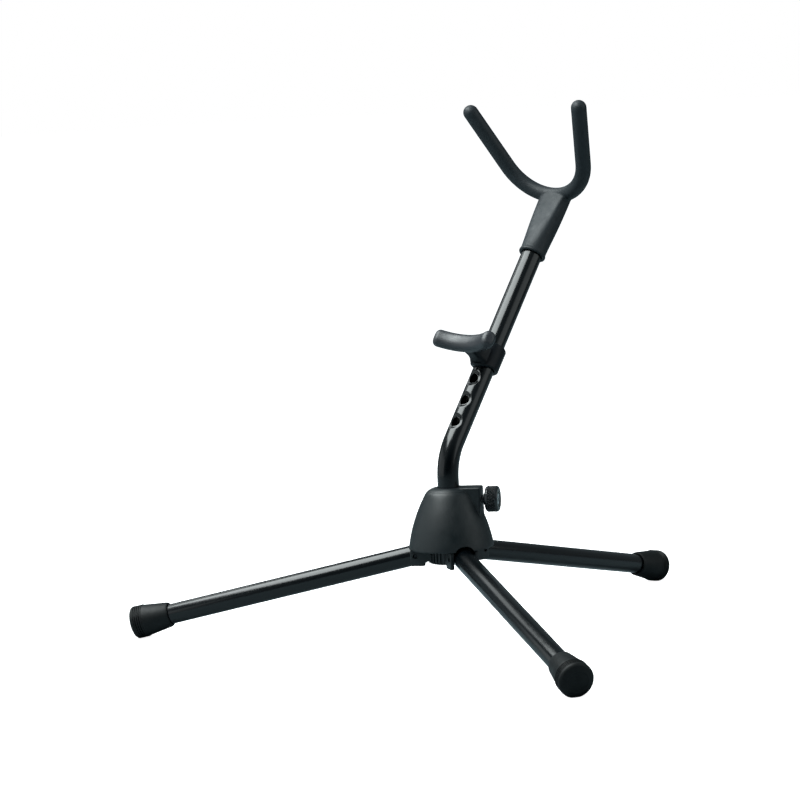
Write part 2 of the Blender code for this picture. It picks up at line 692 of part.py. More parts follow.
def make_arm_and_pad(peg_room):
    """The curved steel arm on the neck's end, and the pad pushed over it."""
    half_height = ARM_HEIGHT + 0.001
    arm_mesh = plate("arm", arc_band(ARM_HALF, ARC_HALF_ANGLE), half_height)
    arm = place("rest_arm", arm_mesh, rest, "bright_steel")
    boolean(arm, peg_room)
    pad_mesh = plate("pad", arc_band(PAD_HALF - PAD_ROUND, ARC_HALF_ANGLE), PAD_HEIGHT, PAD_ROUND)
    pad = place("rest_pad", pad_mesh, rest, "soft_cover")
    room = plate("arm_room", arc_band(ARM_HALF + GAP, ARC_HALF_ANGLE + 0.008), half_height + GAP)
    boolean(pad, place("arm_room_cutter", room, rest))
    side = NECK_HALF + GAP
    up = NECK_HEIGHT + GAP
    neck_room = box("neck_room", (-side, 0.018, -up), (side, 0.0285, up))
    boolean(pad, place("neck_room_cutter", neck_room, rest))
    head_room = rod("head_room", REST_SCREW_R + 0.0004, 0.028, REST_SCREW_TOP + 0.0004, 20, "Y")
    boolean(pad, place("head_room_cutter", head_room, rest))


def make_lock():
    """The screw that holds the arm, and the spring and peg behind it in the neck's bore."""
    top = REST_SCREW_TOP
    seat = top - 0.0020
    screw = [(0.0, top), (0.0042, top), (REST_SCREW_R, top - 0.0007), (REST_SCREW_R, seat), (PEG_R, seat)]
    screw += [(PEG_R, SPRING_END + 0.0010), (0.0, SPRING_END + 0.0010)]
    place("rest_screw", turned("rest_screw", screw, 20, "Y"), rest, "bright_steel")
    peg = [(0.0, PEG_END), (PEG_R, PEG_END), (PEG_R, 0.0082), (0.0030, 0.0066), (0.0, 0.0061)]
    place("rest_peg", turned("peg", peg, 20, "Y"), rest, "brass")
    turns, per_turn, coil = 4, 8, 0.0030
    wire = []
    for index in range(turns * per_turn + 1):
        angle = math.tau * index / per_turn
        along = SPRING_START + (SPRING_END - SPRING_START) * index / (turns * per_turn)
        wire.append((coil * math.cos(angle), along, coil * math.sin(angle)))
    place("rest_spring", swept("spring", wire, 0.0004, 1), rest, "bright_steel")


def make_rest():
    """The lower rest, on a clip that slides on the mast."""
    bore = rod("peg_bore", PEG_BORE, 0.004, 0.032, 20, "Y")
    peg_room = place("peg_bore_cutter", bore, rest)
    make_clip(peg_room)
    make_arm_and_pad(peg_room)
    make_lock()


hinges = leg_frames()
posts = post_frames()
clamp = frame("clamp_axis", hub, (0, 0, CLAMP_Z), (0, 0, math.radians(CLAMP_ANGLE)))
slope = frame("mast_slope", hub, (0, 0, BEND_Z), (-LEAN, 0, 0))
rest = frame("rest_axis", slope, (0, 0, HOLE_TOP), (0, 0, math.pi))

make_housing()
make_carrier()
make_housing_screws()
make_clamp()
for leg_name, leg_hinge in hinges.items():
    make_leg(leg_name, leg_hinge)
make_mast()
make_fork()
make_rest()
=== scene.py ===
"""The looks of a folding saxophone stand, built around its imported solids. Metres, +Z up."""

import json
import math

import bmesh
import bpy
from mathutils import Matrix, Vector


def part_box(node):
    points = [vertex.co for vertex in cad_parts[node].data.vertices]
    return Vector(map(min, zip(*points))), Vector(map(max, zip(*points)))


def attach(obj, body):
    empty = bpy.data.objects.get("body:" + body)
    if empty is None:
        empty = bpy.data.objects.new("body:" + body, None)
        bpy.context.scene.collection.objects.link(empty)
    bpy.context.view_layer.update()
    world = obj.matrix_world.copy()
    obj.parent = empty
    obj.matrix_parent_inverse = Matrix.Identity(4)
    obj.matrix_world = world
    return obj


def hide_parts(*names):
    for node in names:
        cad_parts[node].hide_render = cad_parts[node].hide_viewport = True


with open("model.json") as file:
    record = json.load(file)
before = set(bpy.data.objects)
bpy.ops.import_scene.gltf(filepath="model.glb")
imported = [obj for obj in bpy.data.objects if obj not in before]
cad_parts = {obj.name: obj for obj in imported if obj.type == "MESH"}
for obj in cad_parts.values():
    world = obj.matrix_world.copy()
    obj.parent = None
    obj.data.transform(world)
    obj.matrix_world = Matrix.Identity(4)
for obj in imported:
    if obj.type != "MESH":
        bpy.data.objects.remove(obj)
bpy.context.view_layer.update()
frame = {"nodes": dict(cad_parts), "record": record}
scene = bpy.context.scene

# The hub's upright axis, from a node that is turned about it.
plug_low, plug_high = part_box("mast_plug")
HUB_Y = (plug_low.y + plug_high.y) / 2
GAP = 0.0003
BORE_R = 0.0094

# Hub housing and carrier.
SKIRT_Z = 0.0750
HUB_TOP = 0.1255
SKIRT_R = 0.0358
DOME_SLOPE = 0.135
DOME_CURVE = 4.72
SHOULDER = 0.0060
HOUSING_WALL = 0.0026
NOSE_REACH = 0.0278
NOSE_HALF = 0.0089
NOSE_EDGE = 0.0013
NOSE_CORNER = 0.0022
NOSE_FILLET = 0.0006
NOSE_BOTTOM = 0.1012
SKIRT_EDGE = 0.0005
ARCH_HALF = 0.0097
ARCH_TOP = 0.0796
ARCH_NEAR = -0.0085
ARCH_FAR = 0.0200
ARCH_DROP = 0.0015
ARCH_POWER = 2.35
BORE_LIP = 0.0006
PLATE_R = 0.0320
PLATE_TOP = 0.0790
DRUM_R = 0.0190
DRUM_BOTTOM = 0.0623
SOCKET_R = 0.0124
SOCKET_TOP = 0.0980
SOCKET_FLOOR = 0.0645
SLOT_START = 0.0154
POST_ANGLES = (30.0, 150.0, 270.0)
POST_AT = 0.0252
POST_HEAD_R = 0.0030
POST_HEAD_SEAT = 0.0772
DRUM_RIBS = 7
DRUM_RIB_STEP = 10.5
DRUM_RIB_HEIGHT = 0.0012
DRUM_RIB_HALF = 0.0006

# Clamp.
CLAMP_ANGLE = math.radians(30.0)
CLAMP_Z = 0.1147
SHANK_R = 0.0030
KNOB_R = 0.0110
KNOB_NEAR = 0.0316
KNOB_FAR = 0.0426
KNOB_SHOULDER = 0.0022
KNOB_ROUND = 0.0018
BOSS_R = 0.0052
RECESS_RIM_R = 0.0072
RECESS_R = 0.0054
RECESS_FLOOR = 0.0389
KNURL_TEETH = 28
KNURL_PITCH = 0.0026
KNURL_DEPTH = 0.0011
KNURL_FADE = 0.0004
SCREW_HEAD_R = 0.0051
SCREW_HEAD_SEAT = 0.0390
SCREW_HEAD_TOP = 0.0420
SCREW_KEY_R = 0.0022
SCREW_TIP = 0.0125
THREAD_START = 0.0135
THREAD_END = 0.036
THREAD_PITCH = 0.001
THREAD_DEPTH = 0.00012

# Legs, measured along each leg from its hinge.
LEG_ANGLES = {"rear": 90.0, "left": 210.0, "right": 330.0}
HINGE_R = 0.029
HINGE_Z = 0.069
LEG_TUBE_R = 0.00867
LEG_WALL = 0.0012
LEG_TAIL = 0.006
LEG_END = 0.2520
FOOT_START = 0.2255
FOOT_RIM = 0.2567
FOOT_END = 0.2612
FOOT_RIM_R = 0.0142
FOOT_MOUTH_R = 0.0100
FOOT_SINK = 0.0005
FOOT_RIBS = 4
FOOT_RIB_PITCH = 0.0019
FOOT_RIB_HEIGHT = 0.0005
FOOT_GROOVE_DEPTH = 0.0007
PIN_R = 0.0018
EAR_INNER = LEG_TUBE_R + 0.0005
EAR_OUTER = 0.0124
EAR_REACH = 0.0042
EAR_DROP = 0.0083
EAR_HEEL = 0.0082
EAR_ROOT = 0.0140
EAR_ROOT_LOW = -0.0046
EAR_CORNER = 0.0014
LEG_SLOPE = math.asin((HINGE_Z + FOOT_SINK) / math.hypot(FOOT_RIM, FOOT_RIM_R)) - math.atan2(
    FOOT_RIM_R, FOOT_RIM
)

# Mast, with distances along its slope from the corner of the bend.
MAST_R = 0.0090
MAST_WALL = 0.0012
MAST_BOTTOM = 0.0670
BEND_Z = 0.1500
BEND_R = 0.050
LEAN = math.radians(37.5)
MAST_TOP = 0.2180
HOLE_TOP = 0.0943
HOLE_PITCH = 0.0212
HOLE_COUNT = 4
HOLE_R = 0.0045
DISH_REACH = 0.0079
DISH_SLOPE = 0.0034
DISH_DEPTH = 0.0011

# Fork.
FORK_S = 0.2637
FORK_TIP = math.radians(27.4)
FORK_R = 0.0067
U_RADIUS = 0.0444
U_HALF_ANGLE = math.radians(71.7)
U_ARM = 0.0572
SOCKET_START = 0.2018
SOCKET_ROUND = 0.0112
SOCKET_WIDE = 0.0146
SOCKET_FLATTENING = 2.6
COVER_VOXEL = 0.00062
COVER_PASSES = 5

# Lower rest.
REST_START = 0.0870
REST_END = 0.1084
CLIP_R = 0.0120
CLIP_EDGE = 0.0007
CLIP_DROP = 0.0032
CLIP_LIP = 0.0014
CLIP_LIP_AT = 0.0016
NECK_HALF = 0.0065
NECK_HEIGHT = 0.0060
NECK_END = 0.0269
NECK_POWER = 4.5
ARC_RADIUS = 0.0525
ARC_FRONT = 0.0291
ARC_HALF_ANGLE = math.radians(31.0)
PAD_ROUND = 0.0045
PAD_HALF = 0.0060
PAD_HEIGHT = 0.0076
PAD_POWER = 2.3


def about(location=(0, 0, 0), axis="Z", angle=0.0):
    """A matrix that moves to a place and turns about one axis."""
    return Matrix.Translation(Vector(location)) @ Matrix.Rotation(angle, 4, axis)


HUB = about((0, HUB_Y, 0))
CLAMP = HUB @ about((0, 0, CLAMP_Z), "Z", CLAMP_ANGLE)
SLOPE = HUB @ about((0, 0, BEND_Z), "X", -LEAN)
REST = SLOPE @ about((0, 0, HOLE_TOP), "Z", math.pi)
FORK = SLOPE @ about((0, 0, FORK_S), "X", LEAN + FORK_TIP)
LEGS = {
    leg: HUB @ about(angle=math.radians(degrees)) @ about((HINGE_R, 0, HINGE_Z))
    for leg, degrees in LEG_ANGLES.items()
}
ALONG = Matrix.Rotation(math.pi / 2 + LEG_SLOPE, 4, "Y")
TO_X = Matrix.Rotation(math.pi / 2, 4, "Y")
TO_Y = Matrix.Rotation(-math.pi / 2, 4, "X")


# ---------------------------------------------------------------- materials


def link(tree, source, target):
    """Joins one socket to another."""
    tree.links.new(source, target)


def noise(tree, coords, scale, detail=3.0, rough=0.5):
    """A noise texture over the object's own coordinates."""
    node = tree.nodes.new("ShaderNodeTexNoise")
    node.inputs["Scale"].default_value = scale
    node.inputs["Detail"].default_value = detail
    node.inputs["Roughness"].default_value = rough
    link(tree, coords, node.inputs["Vector"])
    return node.outputs["Fac"]


def ranged(tree, source, low, high, from_low=0.3, from_high=0.7):
    """A value spread from one range to another."""
    node = tree.nodes.new("ShaderNodeMapRange")
    link(tree, source, node.inputs["Value"])
    node.inputs["From Min"].default_value = from_low
    node.inputs["From Max"].default_value = from_high
    node.inputs["To Min"].default_value = low
    node.inputs["To Max"].default_value = high
    return node.outputs["Result"]


def blended(tree, factor, first, second):
    """A colour between two, where each is a colour or a socket."""
    node = tree.nodes.new("ShaderNodeMix")
    node.data_type = "RGBA"
    link(tree, factor, node.inputs["Factor"])
    for value, socket in ((first, node.inputs["A"]), (second, node.inputs["B"])):
        if isinstance(value, tuple):
            socket.default_value = (*value, 1.0)
        else:
            link(tree, value, socket)
    return node.outputs["Result"]


def look(name, colour, rough, grain, depth, patches, metallic, wear_and_highlight, gloss):
    """A material with patchy colour, grain as bump, uneven gloss and lighter high spots, which are wear
    and on the knob's knurl also a painted highlight.
    """
    made = bpy.data.materials.new(name)
    made.use_nodes = True
    tree = made.node_tree
    shader = tree.nodes["Principled BSDF"]
    coords = tree.nodes.new("ShaderNodeTexCoord").outputs["Object"]
    broad = noise(tree, coords, 38.0, 4.0)
    fine = noise(tree, coords, grain, 2.0, 0.6)
    specks = noise(tree, coords, grain * 0.27, 5.0, 0.65)
    dark = tuple(c * (1 - patches) for c in colour)
    light = tuple(c * (1 + patches) for c in colour)
    base = blended(tree, ranged(tree, broad, 0.0, 1.0), dark, light)
    dust = tuple(c * 1.9 + 0.003 for c in colour)
    base = blended(tree, ranged(tree, specks, 0.0, 0.35, 0.55, 0.8), base, dust)
    # Lighter colour on pointy edges: wear, and on the knob's knurl ridges also a painted highlight.
    if wear_and_highlight:
        geometry = tree.nodes.new("ShaderNodeNewGeometry")
        edge = ranged(tree, geometry.outputs["Pointiness"], 0.0, 0.8, 0.53, 0.62)
        base = blended(tree, edge, base, wear_and_highlight)
    link(tree, base, shader.inputs["Base Color"])
    uneven = ranged(tree, noise(tree, coords, 140.0, 3.0), rough * 0.88, rough * 1.14)
    link(tree, uneven, shader.inputs["Roughness"])
    bump = tree.nodes.new("ShaderNodeBump")
    bump.inputs["Strength"].default_value = 1.0
    bump.inputs["Distance"].default_value = depth
    link(tree, fine, bump.inputs["Height"])
    link(tree, bump.outputs["Normal"], shader.inputs["Normal"])
    shader.inputs["Metallic"].default_value = metallic
    shader.inputs["Specular IOR Level"].default_value = gloss
    return made


# Colour, roughness, grain scale, bump depth, patchiness, metallic, colour of the lighter edges (wear, and
# on the knob a painted highlight) and gloss.
LOOKS = {
    "coated_tube": (
        (0.0008, 0.0018, 0.0026), 0.20, 1500.0, 0.000008, 0.15, 0.0,
        (0.006, 0.008, 0.009), 0.5,
    ),
    "hub_plastic": (
        (0.0018, 0.0056, 0.0074), 0.48, 2600.0, 0.000030, 0.12, 0.0,
        (0.012, 0.016, 0.018), 0.54,
    ),
    # The clip's darker copy of the hub plastic: painted shade, darkened to stand in for the shade that
    # falls on the clip and its neck.
    "clip_painted_shade": (
        (0.0006, 0.0026, 0.0050), 0.42, 2600.0, 0.000030, 0.12, 0.0,
        (0.008, 0.012, 0.015), 0.24,
    ),
    "soft_cover": (
        (0.0112, 0.0165, 0.0207), 0.54, 1900.0, 0.000060, 0.14, 0.0,
        (0.019, 0.022, 0.024), 0.44,
    ),
    "pad_cover": (
        (0.0125, 0.0150, 0.0200), 0.46, 1700.0, 0.000070, 0.14, 0.0,
        (0.026, 0.028, 0.032), 0.78,
    ),
    "foot_rubber": (
        (0.0030, 0.0045, 0.0050), 0.55, 1400.0, 0.000045, 0.22, 0.0,
        (0.012, 0.013, 0.013), 0.28,
    ),
    # The knob's light edge colour makes the knurl's ridges stand out: wear, and also a painted highlight
    # on the ridges.
    "knob_plastic": (
        (0.0026, 0.0046, 0.0062), 0.27, 2200.0, 0.000020, 0.12, 0.0,
        (0.024, 0.027, 0.029), 0.70,
    ),
    "bright_steel": (
        (0.56, 0.56, 0.57), 0.24, 900.0, 0.000006, 0.06, 1.0,
        None, 0.5,
    ),
    "dark_steel": (
        (0.030, 0.031, 0.034), 0.35, 900.0, 0.000006, 0.15, 1.0,
        None, 0.5,
    ),
    "brass": (
        (0.60, 0.44, 0.18), 0.30, 900.0, 0.000006, 0.10, 1.0,
        None, 0.5,
    ),
}
LOOKS = {name: look(name, *values) for name, values in LOOKS.items()}


# ---------------------------------------------------------------- mesh helpers


def meshed(name, points, faces):
    """A mesh whose faces point outwards."""
    mesh = bpy.data.meshes.new(name)
    mesh.from_pydata([tuple(p) for p in points], [], faces)
    work = bmesh.new()
    work.from_mesh(mesh)
    bmesh.ops.remove_doubles(work, verts=work.verts, dist=2e-6)
    bmesh.ops.recalc_face_normals(work, faces=work.faces)
    work.to_mesh(mesh)
    work.free()
    return mesh


def lofted(name, rings, matrix=Matrix.Identity(4), looped=False, caps=True):
    """A skin over rings of points. looped joins the last ring to the first."""
    count = len(rings[0])
    points = [matrix @ Vector(p) for ring in rings for p in ring]
    faces = []
    for row in range(len(rings) if looped else len(rings) - 1):
        low = row * count
        high = (row + 1) % len(rings) * count
        for index in range(count):
            after = (index + 1) % count
            faces.append((low + index, low + after, high + after, high + index))
    if caps and not looped:
        faces.append(tuple(range(count)))
        faces.append(tuple(range(len(points) - count, len(points))))
    return meshed(name, points, faces)


def rounded(outline, radii, steps=4):
    """An outline with arcs at its inner corners. radii is one radius, or one for each corner."""
    corners = [Vector(p) for p in outline]
    if not isinstance(radii, (list, tuple)):
        radii = [radii] * (len(corners) - 2)
    made = [corners[0]]
    for index, radius in enumerate(radii, start=1):
        before, here, after = corners[index - 1 : index + 2]
        back, on = (before - here), (after - here)
        reach = min(back.length, on.length) * 0.49
        turn = math.pi - back.angle(on, math.pi)
        cut = min(radius * math.tan(turn / 2), reach)
        start, end = here + back.normalized() * cut, here + on.normalized() * cut
        for step in range(steps + 1):
            t = step / steps
            made.append(start * (1 - t) ** 2 + here * 2 * t * (1 - t) + end * t**2)
    return made + [corners[-1]]


def circle(radius, height, count, wave=None):
    """A ring of points. wave adds to the radius at each angle."""
    ring = []
    for index in range(count):
        angle = math.tau * index / count
        r = radius + (wave(angle, height) if wave else 0.0)
        ring.append((r * math.cos(angle), r * math.sin(angle), height))
    return ring


def turned(name, profile, matrix, count=64, wave=None):
    """A solid of revolution about local Z. A closed profile makes a ring."""
    looped = (Vector(profile[0]) - Vector(profile[-1])).length < 1e-9
    spots = profile[:-1] if looped else profile
    rings = [circle(max(r, 0.0), h, count, wave) for r, h in spots]
    return lofted(name, rings, matrix, looped, caps=False)


def swept(name, spine, section_at, matrix):
    """Sections along a flat spine in local XZ. section_at gives each one's points across and along Y."""
    rings = []
    for index, point in enumerate(spine):
        before, after = spine[max(index - 1, 0)], spine[min(index + 1, len(spine) - 1)]
        run = (Vector(after) - Vector(before)).normalized()
        across = Vector((run.z, 0, -run.x))
        rings.append([Vector(point) + across * a + Vector((0, b, 0)) for a, b in section_at(index)])
    return lofted(name, rings, matrix)


def super_ring(half_x, half_y, power, count=48):
    """A ring between an ellipse (power 2) and a rounded rectangle (higher powers)."""
    ring = []
    for index in range(count):
        angle = math.tau * index / count
        c, s = math.cos(angle), math.sin(angle)
        x = half_x * math.copysign(abs(c) ** (2 / power), c)
        y = half_y * math.copysign(abs(s) ** (2 / power), s)
        ring.append((x, y))
    return ring


def bricked(name, low, high, bevel, matrix, segments=3):
    """A box between two corners with rounded edges."""
    work = bmesh.new()
    bmesh.ops.create_cube(work, size=1.0)
    low, high = Vector(low), Vector(high)
    for vert in work.verts:
        vert.co = [(low[i] + high[i]) / 2 + vert.co[i] * (high[i] - low[i]) for i in range(3)]
    bmesh.ops.bevel(
        work, geom=work.edges[:], offset=bevel, segments=segments, profile=0.5, affect="EDGES"
    )
    bmesh.ops.transform(work, matrix=matrix, verts=work.verts)
    mesh = bpy.data.meshes.new(name)
    work.to_mesh(mesh)
    work.free()
    return mesh


def joined(name, meshes):
    """Several meshes as one mesh of separate shells."""
    work = bmesh.new()
    for mesh in meshes:
        work.from_mesh(mesh)
    made = bpy.data.meshes.new(name)
    work.to_mesh(made)
    work.free()
    return made


def changed(mesh, *steps):
    """The mesh after a list of modifiers, each a (type, settings) pair."""
    holder = bpy.data.objects.new("holder", mesh)
    scene.collection.objects.link(holder)
    tools = []
    for kind, settings in steps:
        modifier = holder.modifiers.new(kind.lower(), kind)
        for key, value in settings.items():
            if key == "object":
                value = bpy.data.objects.new("tool", value)
                scene.collection.objects.link(value)
                tools.append(value)
            setattr(modifier, key, value)
    graph = bpy.context.evaluated_depsgraph_get()
    made = bpy.data.meshes.new_from_object(holder.evaluated_get(graph))
    made.name = mesh.name
    for extra in [holder, *tools]:
        bpy.data.objects.remove(extra, do_unlink=True)
    return made


def cut(mesh, *tools):
    """The mesh less each tool."""
    how = {"operation": "DIFFERENCE", "solver": "EXACT"}
    return changed(mesh, *[("BOOLEAN", {**how, "object": tool}) for tool in tools])


def added(mesh, *tools):
    """The mesh with each tool joined on."""
    how = {"operation": "UNION", "solver": "EXACT"}
    return changed(mesh, *[("BOOLEAN", {**how, "object": tool}) for tool in tools])


def moulded(mesh, voxel, passes):
    """The mesh's shells grown together into one skin, with its corners softened."""
    return changed(
        mesh,
        ("REMESH", {"mode": "VOXEL", "voxel_size": voxel, "adaptivity": 0.0}),
        ("SMOOTH", {"factor": 0.5, "iterations": passes}),
    )


def softened(mesh, width, wanted, segments=2):
    """The mesh with its sharp edges bevelled wherever wanted(middle of the edge) is true."""
    work = bmesh.new()
    work.from_mesh(mesh)
    bmesh.ops.remove_doubles(work, verts=work.verts, dist=1e-5)
    work.normal_update()
    edges = []
    for edge in work.edges:
        if len(edge.link_faces) != 2 or edge.calc_face_angle() < math.radians(50):
            continue
        if wanted((edge.verts[0].co + edge.verts[1].co) / 2):
            edges.append(edge)
    bmesh.ops.bevel(
        work, geom=edges, offset=width, segments=segments, profile=0.5, affect="EDGES", clamp_overlap=True
    )
    work.to_mesh(mesh)
    work.free()
    return mesh


def piece(name, mesh, body, slot, replaced=(), sharp=38.0, look_name=None):
    """A mesh as a piece of the stand that moves with a body and stands for CAD nodes."""
    made = bpy.data.objects.new(name, mesh)
    scene.collection.objects.link(made)
    mesh.materials.clear()
    mesh.materials.append(LOOKS[look_name or slot])
    mesh.shade_smooth()
    mesh.set_sharp_from_angle(angle=math.radians(sharp))
    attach(made, body)
    if replaced:
        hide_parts(*replaced)
    return made


def rod(radius, start, end, matrix, count=48):
    """A plain cylinder along local Z, as a cutting tool."""
    return turned("rod", [(0, end), (radius, end), (radius, start), (0, start)], matrix, count)


# ---------------------------------------------------------------- hub


def smooth_max(a, b, width):
    """The larger of two values, with a fillet of that width where they meet."""
    meet = max(width - abs(a - b), 0.0) / width
    return max(a, b) + meet * meet * width / 4


def drawn_in(height, top, edge):
    """How far a rounded top edge has drawn a wall in at a height."""
    over = min(max(height - (top - edge), 0.0), edge)
    return edge - math.sqrt(max(edge * edge - over * over, 0.0))


def dome_wall(height):
    """The dome's outer radius at a height above its skirt, below the shoulder."""
    return SKIRT_R - DOME_SLOPE * height - DOME_CURVE * height**2


SHOULDER_START = HUB_TOP - SHOULDER
SHOULDER_LEAN = math.atan(DOME_SLOPE + 2 * DOME_CURVE * (SHOULDER_START - SKIRT_Z))
SHOULDER_ARC = SHOULDER / (1 - math.sin(SHOULDER_LEAN))
SHOULDER_MIDDLE = dome_wall(SHOULDER_START - SKIRT_Z) - SHOULDER_ARC * math.cos(SHOULDER_LEAN)


def dome_radius(height):
    """The dome's outer radius at a height above the floor."""
    if height < SHOULDER_START:
        return dome_wall(height - SKIRT_Z)
    up = min(height - HUB_TOP + SHOULDER_ARC, SHOULDER_ARC)
    return SHOULDER_MIDDLE + math.sqrt(SHOULDER_ARC**2 - up**2)


def nose_radius(angle, height):
    """The clamp nose's radius at an angle from its middle, which makes a rounded rectangle."""
    if height < NOSE_BOTTOM or abs(angle) > math.radians(85):
        return 0.0
    shrink = drawn_in(height, HUB_TOP, NOSE_EDGE)
    front = (NOSE_REACH - shrink) / math.cos(angle)
    side = (NOSE_HALF - shrink) / max(abs(math.sin(angle)), 1e-6)
    meet = max(NOSE_CORNER - abs(front - side), 0.0) / NOSE_CORNER
    return min(front, side) - meet * meet * NOSE_CORNER / 4


def hub_angles():
    """Angles round the hub from the nose's middle, closer together over the nose."""
    near = [math.radians(a / 2.0) for a in range(-90, 90)]
    far = [math.radians(a * 1.5) for a in range(30, 210)]
    return near + far


def hub_skin_heights():
    """Heights up the housing's outer wall, closer together at the rounded top."""
    sides = [SKIRT_Z + SKIRT_EDGE + (SHOULDER_START - SKIRT_Z - SKIRT_EDGE) * i / 40 for i in range(40)]
    shoulder = [HUB_TOP - SHOULDER_ARC * (1 - math.cos(math.radians(a))) for a in range(0, 60, 4)]
    nose_edge = [HUB_TOP - NOSE_EDGE * math.cos(math.radians(a)) for a in range(0, 91, 9)]
    return sides + [h for h in sorted(set(shoulder + nose_edge)) if h > sides[-1]]


def hub_rings():
    """(height, radius at an angle) for each ring: down the inside, up the outside and into the bore."""
    inner_top = HUB_TOP - HOUSING_WALL
    rings = []
    for height in (inner_top, inner_top - 0.0020, 0.105, 0.095, 0.085, SKIRT_Z + 0.0012):
        inside = dome_wall(min(height, SHOULDER_START) - SKIRT_Z) - HOUSING_WALL
        rings.append((height, lambda a, r=inside: r))
    for turn in range(0, 91, 30):
        t = math.radians(turn)
        inside = SKIRT_R - HOUSING_WALL + SKIRT_EDGE * (1 - math.cos(t))
        rings.append((SKIRT_Z + SKIRT_EDGE * (1 - math.sin(t)), lambda a, r=inside: r))
    for turn in range(0, 90, 30):
        t = math.radians(turn)
        outside = dome_radius(SKIRT_Z + SKIRT_EDGE) - SKIRT_EDGE * (1 - math.sin(t))
        rings.append((SKIRT_Z + SKIRT_EDGE * (1 - math.cos(t)), lambda a, r=outside: r))
    for height in hub_skin_heights():
        rings.append(
            (height, lambda a, h=height: smooth_max(dome_radius(h), nose_radius(a, h), NOSE_FILLET))
        )
    lip = BORE_R + BORE_LIP
    edge = rings[-1][1]
    for share in (0.75, 0.5, 0.25, 0.0):
        rings.append((HUB_TOP, lambda a, s=share: lip + (edge(a) - lip) * s))
    rings.append((HUB_TOP - 0.0007, lambda a: BORE_R))
    rings.append((inner_top - 0.004, lambda a: BORE_R))
    rings.append((inner_top - 0.004, lambda a: BORE_R + 0.002))
    return rings


def make_hub_shell():
    """The domed housing with its nose, arches over the legs and the bore for the mast."""
    loops = []
    for height, radius_at in hub_rings():
        loop = []
        for a in hub_angles():
            r = radius_at(a)
            loop.append((r * math.cos(a + CLAMP_ANGLE), r * math.sin(a + CLAMP_ANGLE), height))
        loops.append(loop)
    shell = lofted("hub_shell", loops, HUB, looped=True)
    tools = []
    for matrix in LEGS.values():
        outline = super_ring(ARCH_HALF, ARCH_TOP - HINGE_Z + ARCH_DROP, ARCH_POWER, 56)
        sides = [[(x, y, z - ARCH_DROP) for y, z in outline] for x in (ARCH_NEAR, ARCH_FAR)]
        tools.append(lofted("arch", sides, matrix))
        low, high = (ARCH_NEAR, -ARCH_HALF, -0.02), (ARCH_FAR, ARCH_HALF, 0.0001 - ARCH_DROP)
        tools.append(bricked("arch_drop", low, high, 0.0002, matrix))
    tools.append(rod(SHANK_R + 0.0005, 0.012, 0.040, CLAMP @ TO_X))
    shell = softened(cut(shell, *tools), 0.00035, near_arch_or_nose)
    piece("hub_shell", shell, "hub", "hub_plastic", ("hub_housing",), 32.0)


def near_arch_or_nose(point):
    """True on the outer edges that the arches and the clamp's hole leave in the housing."""
    local = HUB.inverted() @ point
    out = math.hypot(local.x, local.y)
    if local.z < SKIRT_Z + 0.0002:
        return False
    if local.z < ARCH_TOP + 0.001:
        return out > dome_radius(local.z) - 0.0004
    return abs(out - NOSE_REACH) < 0.0006 and local.z > NOSE_BOTTOM


def make_ear(matrix, sign):
    """One hinge ear with rounded edges and its pin hole, on one side of a leg."""
    outer_top = SKIRT_Z - 2 * GAP - HINGE_Z
    inner_top = PLATE_TOP - 0.001 - HINGE_Z
    corners = []
    for centre_x, first in ((-EAR_HEEL + EAR_CORNER, 180.0), (EAR_REACH - EAR_CORNER, 270.0)):
        for step in range(9):
            a = math.radians(first + 90.0 * step / 8)
            height = -EAR_DROP + EAR_CORNER * (1 + math.sin(a))
            corners.append((centre_x + EAR_CORNER * math.cos(a), height))
    outline = [(-EAR_HEEL, EAR_ROOT_LOW), *corners, (EAR_REACH, outer_top), (0.0, outer_top)]
    outline += [(0.0, inner_top), (-EAR_ROOT, inner_top), (-EAR_ROOT, EAR_ROOT_LOW)]
    sides = [[(x, sign * y, z) for x, z in outline] for y in (EAR_INNER, EAR_OUTER)]
    ear = softened(lofted("ear", sides, matrix), 0.0005, lambda point: True, 3)
    return cut(ear, rod(PIN_R + GAP, -0.02, 0.02, matrix @ TO_Y, 32))


